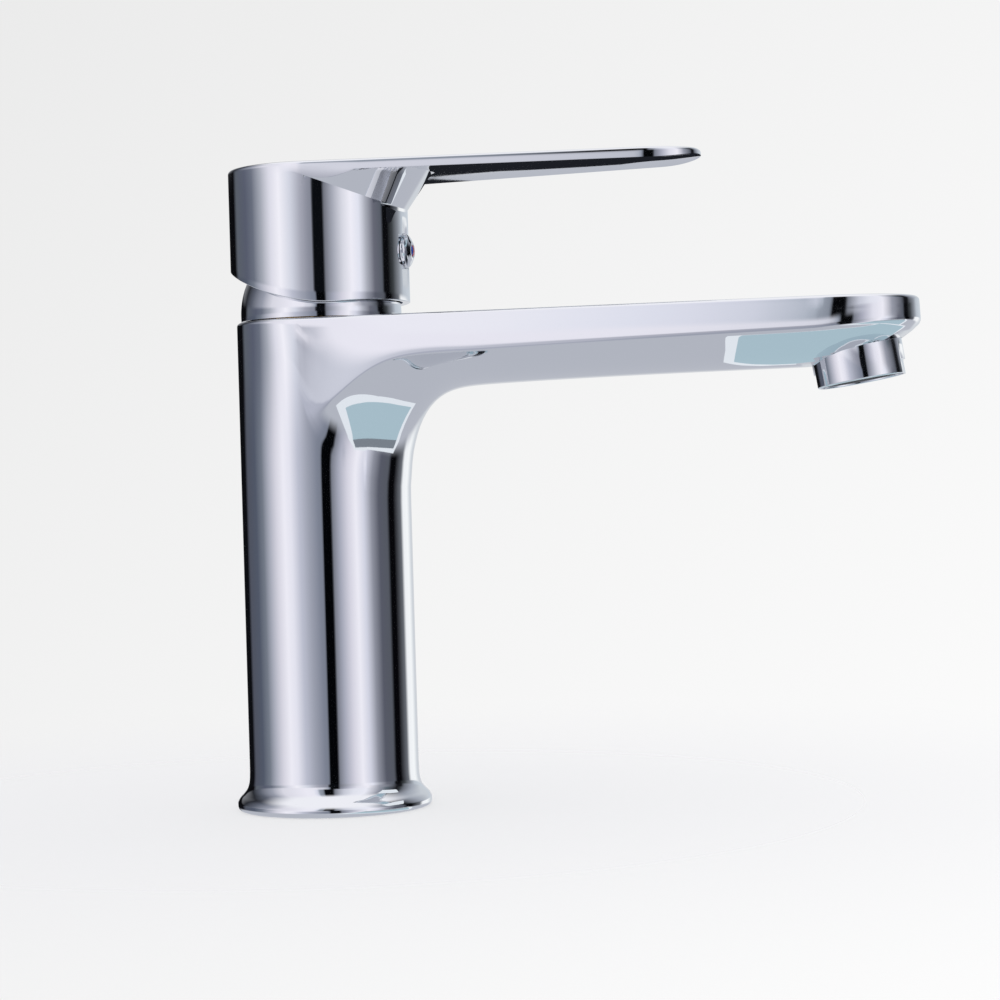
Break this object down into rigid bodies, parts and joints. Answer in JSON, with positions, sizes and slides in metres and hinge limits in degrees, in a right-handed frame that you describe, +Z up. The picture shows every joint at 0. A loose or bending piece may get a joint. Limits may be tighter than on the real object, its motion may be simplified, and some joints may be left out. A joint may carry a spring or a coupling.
{
  "type": "bathroom mixer faucet",
  "caption": "Deck-mounted single-lever basin mixer: round column with an integral flat spout, tilting and turning lever handle over a ceramic cartridge, angled aerator.",
  "frame": {"origin": "centre of the base, on the deck surface the faucet stands on", "axes": "+Z up along the column, +X towards the spout outlet and the lever tip, +Y across"},
  "size_m": [0.192, 0.054, 0.177],
  "materials": {
    "body_chrome": "polished",
    "handle_chrome": "polished",
    "dome_chrome": "polished",
    "aerator_chrome": "polished",
    "indicator_chrome": "polished",
    "brass": "machined",
    "pin_steel": "satin",
    "screen_steel": "satin",
    "acetal": "satin",
    "carrier": "satin",
    "rotor": "satin",
    "limit": "satin",
    "straightener": "matte",
    "ceramic": "polished",
    "rubber": "matte",
    "marker_red": "gloss",
    "marker_blue": "gloss"
  },
  "bodies": {
    "faucet_body": {"body": "body_chrome", "base_seal": "rubber", "cartridge_base": "acetal", "fixed_ceramic_disc": "ceramic", "inlet_seal_hot": "rubber", "inlet_seal_cold": "rubber", "cartridge_housing": "acetal", "housing_o_ring": "rubber", "temperature_limit_ring": "limit", "cartridge_nut": "brass", "dome_o_ring": "rubber", "dome_cover": "dome_chrome", "aerator_housing": "aerator_chrome", "flow_straightener": "straightener", "aerator_screen": "screen_steel", "flow_regulator": "acetal", "aerator_washer": "rubber"},
    "swivel": {"rotor": "rotor", "pivot_pin": "pin_steel"},
    "lever": {"handle": "handle_chrome", "spindle": "brass", "grub_screw": "pin_steel", "indicator_plug": "indicator_chrome", "marker_red": "marker_red", "marker_blue": "marker_blue"},
    "disc": {"disc_carrier": "carrier", "moving_ceramic_disc": "ceramic"}
  },
  "joints": [
    {"name": "lever_turn", "type": "hinge", "parent": "faucet_body", "child": "swivel", "pos_m": [0, 0, 0.137], "axis": [0, 0, 1], "range_deg": [-50, 50]},
    {"name": "lever_lift", "type": "hinge", "parent": "swivel", "child": "lever", "pos_m": [0, 0, 0.137], "axis": [0, -1, 0], "range_deg": [0, 22]},
    {"name": "disc_slide", "type": "slide", "parent": "swivel", "child": "disc", "axis": [1, 0, 0], "range_m": [0, 0.0047]}
  ],
  "couplings": [
    {"joint": "disc_slide", "follows": "lever_lift", "m_per_rad": 0.011926}
  ]
}
